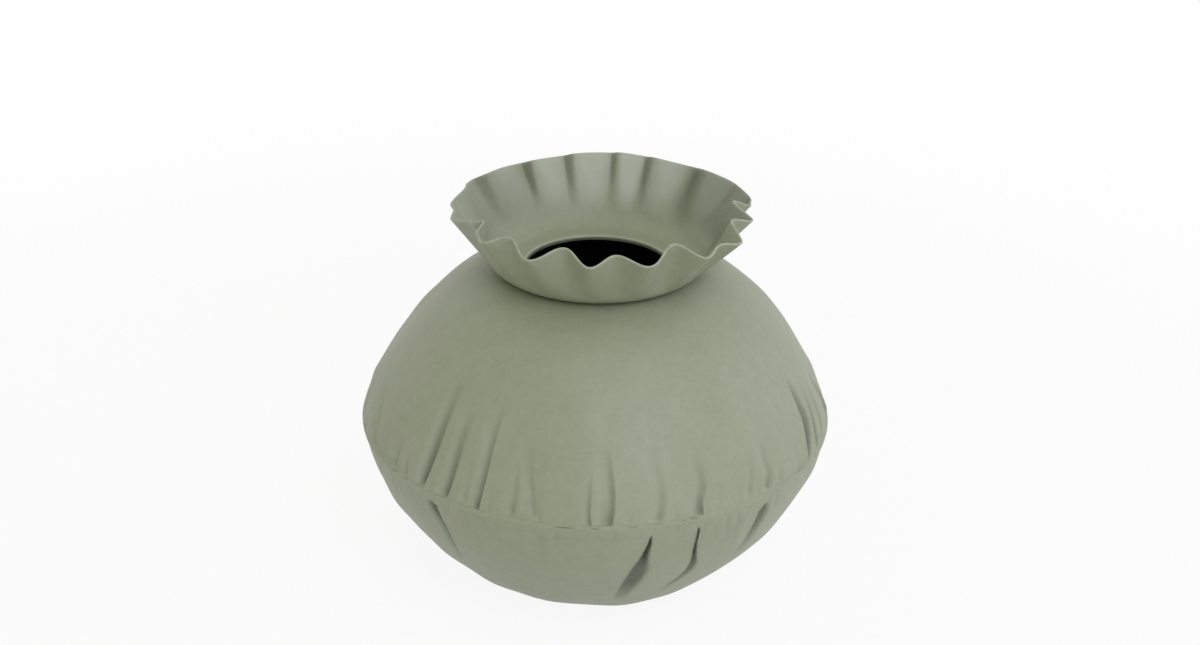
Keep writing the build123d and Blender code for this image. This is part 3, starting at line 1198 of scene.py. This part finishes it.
@dataclass
class RuffledCollar:
    """The sheet collar: a flat floor on the land, a round bend and a flared wall that waves at its rim."""

    floor_height: float
    hole_radius: float
    floor_radius: float = 53.9
    bend_radius: float = 18.0
    lean: float = math.radians(34.0)
    rise: float = 40.0
    wall: float = 1.3
    growth: float = 1.0
    lobe_growth: float = 0.85
    back_ease: float = 0.3
    lip_round: float = 0.5
    blur: float = 2.4
    tall_places: tuple[tuple[float, float, float], ...] = ((120.5, 35.5, 2.9), (172.0, 42.0, 2.7))
    # Strengths of the painted shade and painted highlight on the waves' flanks and walls, weaker at the
    # front.
    front_strength: float = 0.15
    streak_shade: float = 0.55
    streak_highlight: float = 0.75
    right_wall_shade: float = 0.55
    left_wall_shade: float = 0.28
    back_highlight: float = 0.45
    piece: bpy.types.Object = field(init=False)

    @property
    def flare_length(self) -> float:
        """The length of the wall above the bend."""
        return (self.rise - self.bend_radius * (1.0 - math.sin(self.lean))) / math.cos(self.lean)

    def section(self) -> tuple[np.ndarray, np.ndarray]:
        """The collar's outside, from the hole to the rim.

        Returns:
            Radius and height of each point, and how far up the flared wall it is, from 0 to 1.
        """
        turns = np.linspace(0.0, math.pi / 2 - self.lean, 10)
        climb = np.linspace(0.0, 1.0, 27)[1:]
        floor = np.column_stack((np.linspace(self.hole_radius, self.floor_radius, 4)[:-1], np.zeros(3)))
        bend = np.column_stack((
            self.floor_radius + self.bend_radius * np.sin(turns),
            self.bend_radius * (1.0 - np.cos(turns)),
        ))
        direction = np.array((math.sin(self.lean), math.cos(self.lean)))
        flare = bend[-1] + climb[:, None] * self.flare_length * direction
        points = np.vstack((floor, bend, flare)) + (0.0, self.floor_height)
        return points, np.concatenate((np.zeros(len(floor) + len(bend)), climb))

    def ruffle(self, angle: np.ndarray, up: np.ndarray) -> np.ndarray:
        """How far the rim's wave stands out (+) or in (-), blurred more and more towards the bend.

        Args:
            angle: the angle of each point.
            up: how far up the flared wall it is, from 0 to 1.

        Returns:
            The wave in millimetres, before it dies away towards the bend.
        """
        spread = self.blur * (1.0 - up)
        return sum(self.rim_wave(wrap(angle + step * spread)) for step in (-1.0, -0.5, 0.0, 0.5, 1.0)) / 5.0

    def rim_wave(self, angle: np.ndarray) -> np.ndarray:
        """Reads the wave of the rim.

        Args:
            angle: the angle of each point.

        Returns:
            How far the rim stands out (+) or in (-) there, in millimetres.
        """
        waves = np.array(RUFFLES, dtype=float)
        waves = np.vstack((waves[-1] - (360, 0), waves, waves[0] + (360, 0)))
        place = np.clip(np.searchsorted(waves[:, 0], angle), 1, len(waves) - 1)
        before, after = waves[place - 1], waves[place]
        share = (angle - before[:, 0]) / (after[:, 0] - before[:, 0])
        return before[:, 1] + (after[:, 1] - before[:, 1]) * (0.5 - 0.5 * np.cos(np.pi * share))

    def build(self) -> None:
        """Spins the outside, waves its rim, and gives the sheet its thickness and rounded lip."""
        section, climb = self.section()
        self.piece = spin_section("ruffled_collar_sheet", section * MM)
        points = read_points(self.piece)
        row = rows_of(points, section * MM)
        self.wave_rim(section[row], angles_of(points), climb[row])
        self.shade_waves(angles_of(points), climb[row])
        self.face_outwards()
        self.thicken()
        self.clear_outside()

    def behind(self, angle: np.ndarray) -> np.ndarray:
        """0 on the front of the collar and 1 on its back."""
        return smooth_step((np.abs(angle) - 90.0) / 40.0)

    def wave_rim(self, spun: np.ndarray, angle: np.ndarray, up: np.ndarray) -> None:
        """Puts the waves and the tall places of the rim into the spun sheet.

        Args:
            spun: radius and height of each point as it was spun.
            angle: its angle.
            up: how far up the flared wall it is, from 0 to 1.
        """
        ruffle = self.ruffle(angle, up)
        out = ruffle * up ** np.where(ruffle > 0, self.lobe_growth, self.growth)
        lift = up**2 * sum(rise * bell(wrap(angle - middle), half) for middle, half, rise in self.tall_places)
        radius = spun[:, 0] + out * math.cos(self.lean) + lift * math.sin(self.lean)
        drop = out * math.sin(self.lean) * (1.0 - self.back_ease * self.behind(angle))
        height = spun[:, 1] - drop + lift * math.cos(self.lean)
        write_points(self.piece, place_round(radius, angle, height) * MM)

    def shade_waves(self, angle: np.ndarray, up: np.ndarray) -> None:
        """Writes painted shade and painted highlights in the waves and on the walls, and the lip's wear and
        painted highlight.

        Args:
            angle: the angle of each point.
            up: how far up the flared wall it is, from 0 to 1.
        """
        slope = (self.ruffle(wrap(angle + 0.5), up) - self.ruffle(wrap(angle - 0.5), up)) * up
        strength = self.front_strength + (1.0 - self.front_strength) * self.behind(angle)
        # Painted shade on the inner side walls that the light doesn't reach.
        side_wall_shade = self.right_wall_shade * bell(wrap(angle - 112.0), 46.0)
        side_wall_shade += self.left_wall_shade * bell(wrap(angle + 126.0), 40.0)
        # Painted shade on flanks that face away from the light.
        streaks = self.streak_shade * strength * np.clip(slope / 1.2, 0.0, 1.0)
        write_attribute(self.piece, "fold", streaks + side_wall_shade * smooth_step(up / 0.3))
        # Painted highlight on flanks that face the light, and on the back inner wall.
        glints = self.streak_highlight * strength * np.clip(-slope / 0.5, 0.0, 1.0)
        back_wall_highlight = self.back_highlight * smooth_step((np.abs(angle) - 135.0) / 25.0) * smooth_step(up / 0.5)
        write_attribute(self.piece, "painted_highlight", glints + back_wall_highlight)
        # The lip: partly wear, partly a painted highlight.
        write_attribute(self.piece, "lip", smooth_step((up - 0.95) / 0.05))

    def face_outwards(self) -> None:
        """Turns the faces to the outside, where the sheet's thickness starts."""
        face = max(self.piece.data.polygons, key=lambda one: one.center.z)
        if face.normal.x * face.center.x + face.normal.y * face.center.y < 0:
            deselect_all()
            bpy.context.view_layer.objects.active = self.piece
            self.piece.select_set(True)
            bpy.ops.object.mode_set(mode="EDIT")
            bpy.ops.mesh.select_all(action="SELECT")
            bpy.ops.mesh.flip_normals()
            bpy.ops.object.mode_set(mode="OBJECT")

    def thicken(self) -> None:
        """Applies the wall's thickness and the round of its lip."""
        sheet = self.piece.modifiers.new("wall", "SOLIDIFY")
        sheet.thickness = self.wall * MM
        sheet.offset = -1.0
        sheet.use_even_offset = True
        edge = self.piece.modifiers.new("lip_round", "BEVEL")
        edge.limit_method = "ANGLE"
        edge.angle_limit = math.radians(60.0)
        edge.width = self.lip_round * MM
        edge.segments = 3
        deselect_all()
        self.piece.select_set(True)
        bpy.context.view_layer.objects.active = self.piece
        bpy.ops.object.modifier_apply(modifier=sheet.name)
        bpy.ops.object.modifier_apply(modifier=edge.name)
        shade(self.piece, 60.0)

    def clear_outside(self) -> None:
        """Takes most of the inside's painted shade off the outer face at the sides and the back."""
        points = read_points(self.piece)
        facing = np.empty(points.size)
        self.piece.data.vertices.foreach_get("normal", facing)
        outer = np.sum(facing.reshape(-1, 3)[:, :2] * points[:, :2], axis=1) > 0
        painted_shade = np.empty(len(points))
        layer = self.piece.data.attributes["fold"].data
        layer.foreach_get("value", painted_shade)
        cleared = 1.0 - 0.75 * outer * smooth_step((np.abs(angles_of(points)) - 55.0) / 25.0)
        layer.foreach_set("value", (painted_shade * cleared).astype(np.float32))

    def dress(self, coat: bpy.types.Material) -> None:
        """Coats the collar and puts it on the vase."""
        self.piece.data.materials.append(coat)
        finish_piece(self.piece, "ruffled_collar")


# The pads


@dataclass(frozen=True)
class BasePads:
    """The felt pads under the base, which keep their plain form."""

    prefix: str = "base_pad"

    def dress(self, felt: bpy.types.Material) -> None:
        """Gives the pads their felt.

        Args:
            felt: the pads' material.
        """
        for name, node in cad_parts.items():
            if name.startswith(self.prefix):
                node.data.materials.clear()
                node.data.materials.append(felt)
                log.info("%s: felt", name)


# Studio


@dataclass(frozen=True)
class Softbox:
    """A square lamp that faces the vase."""

    name: str
    place: tuple[float, float, float]
    watts: float
    tint: Colour
    size: float = 1.2

    def hang(self, aim_height: float) -> None:
        """Hangs the lamp and turns it to the vase.

        Args:
            aim_height: the height on the vase's axis that it faces.
        """
        deselect_all()
        bpy.ops.object.light_add(type="AREA", location=self.place)
        lamp = bpy.context.object
        lamp.name = self.name
        lamp.data.size = self.size
        lamp.data.energy = self.watts
        lamp.data.color = self.tint
        aim = Vector((0.0, 0.0, aim_height)) - lamp.location
        lamp.rotation_euler = aim.to_track_quat("-Z", "Y").to_euler()


@dataclass(frozen=True)
class Studio:
    """Pale floor, soft light and a camera at the photograph's viewing angle."""

    floor_size: float = 12.0
    image_width_px: float = 1200.0
    focal_px: float = 1534.6
    vase_axis_px: float = 596.6
    camera_distance: float = 0.975
    camera_elevation: float = 25.39
    camera_roll: float = 0.9
    aim_height: float = 0.16125
    sensor: float = 36.0
    air_tint: Colour = (1.0, 0.99, 0.925)
    air_strength: float = 0.63
    softboxes: tuple[Softbox, ...] = (
        Softbox("key_softbox", (0.72, -1.58, 1.51), 16.0, (0.81, 0.84, 1.0)),
        Softbox("right_softbox", (2.05, 0.36, 0.86), 8.5, (0.78, 0.77, 1.0)),
    )

    def lay_floor(self) -> None:
        """Lays the floor under the pads."""
        deselect_all()
        bpy.ops.mesh.primitive_plane_add(size=self.floor_size, location=(0.0, 0.0, 0.0))
        floor = bpy.context.object
        floor.name = "studio_floor"
        floor.data.materials.append(PaleFloor().make())

    def set_camera(self) -> None:
        """Sets the camera in front of the vase, looking down on it."""
        tilt = math.radians(90.0 - self.camera_elevation)
        aside = (self.image_width_px / 2 - self.vase_axis_px) * self.camera_distance / self.focal_px
        data = bpy.data.cameras.new("photo_camera")
        data.sensor_width = self.sensor
        data.lens = self.focal_px * self.sensor / self.image_width_px
        camera = bpy.data.objects.new("photo_camera", data)
        bpy.context.scene.collection.objects.link(camera)
        turn = Matrix.Rotation(tilt, 4, "X") @ Matrix.Rotation(math.radians(self.camera_roll), 4, "Z")
        away = Matrix.Rotation(tilt, 4, "X") @ Matrix.Translation((0.0, 0.0, self.camera_distance))
        place = Matrix.Translation((aside, 0.0, self.aim_height)) @ Matrix.Translation(away.translation)
        camera.matrix_world = place @ turn
        bpy.context.scene.camera = camera

    def set_light(self) -> None:
        """Lights the vase softly from all round, most from the right."""
        for softbox in self.softboxes:
            softbox.hang(self.aim_height)
        world = bpy.data.worlds.new("studio_air")
        bpy.context.scene.world = world
        world.use_nodes = True
        graph = Graph(world.node_tree)
        glow = {"Color": rgba(self.air_tint), "Strength": self.air_strength}
        air = graph.node("ShaderNodeBackground", {}, glow)
        white = graph.node("ShaderNodeBackground", {}, {"Color": (1.0, 1.0, 1.0, 1.0), "Strength": 1.0})
        shader = graph.node("ShaderNodeMixShader", {}, {0: seen_directly(graph), 1: air, 2: white})
        graph.node("ShaderNodeOutputWorld", {}, {"Surface": shader})
        bpy.context.scene.view_settings.view_transform = "Standard"


def main() -> None:
    """Builds the vase and its studio."""
    logging.basicConfig(level=logging.INFO, format="%(message)s")
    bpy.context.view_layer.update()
    land_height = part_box("upper_shell")[1][2] / MM
    base_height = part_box("lower_shell")[0][2] / MM

    coat = PowderCoat().make()
    inside = BareSteelInShade().make()
    upper = BlownShell(
        name="upper_shell_skin", half=Half.UPPER, end_radius=61.5, end_height=land_height,
        run_power=1.77, rise_power=1.25, folds=UPPER_FOLDS, dings=UPPER_DINGS, creases=UPPER_CREASES,
        fine_pleats=96, pleat_seed=11, hole_radius=SHEET_HOLE_RADIUS,
    )
    lower = BlownShell(
        name="lower_shell_skin", half=Half.LOWER, end_radius=73.0, end_height=base_height,
        run_power=1.42, rise_power=1.50, folds=LOWER_FOLDS, dings=LOWER_DINGS, creases=LOWER_CREASES,
        fine_pleats=60, pleat_seed=23,
    )
    for shell in (upper, lower):
        shell.build()
        shell.dress(coat, inside)
    for run in (seam_run(upper, lower), mouth_run(upper, MOUTH_RADIUS)):
        run.build()
        run.dress(coat)
    collar = RuffledCollar(land_height, SHEET_HOLE_RADIUS)
    collar.build()
    collar.dress(coat)
    BasePads().dress(PadFelt().make())

    studio = Studio()
    studio.lay_floor()
    studio.set_camera()
    studio.set_light()


if __name__ == "__main__":
    main()
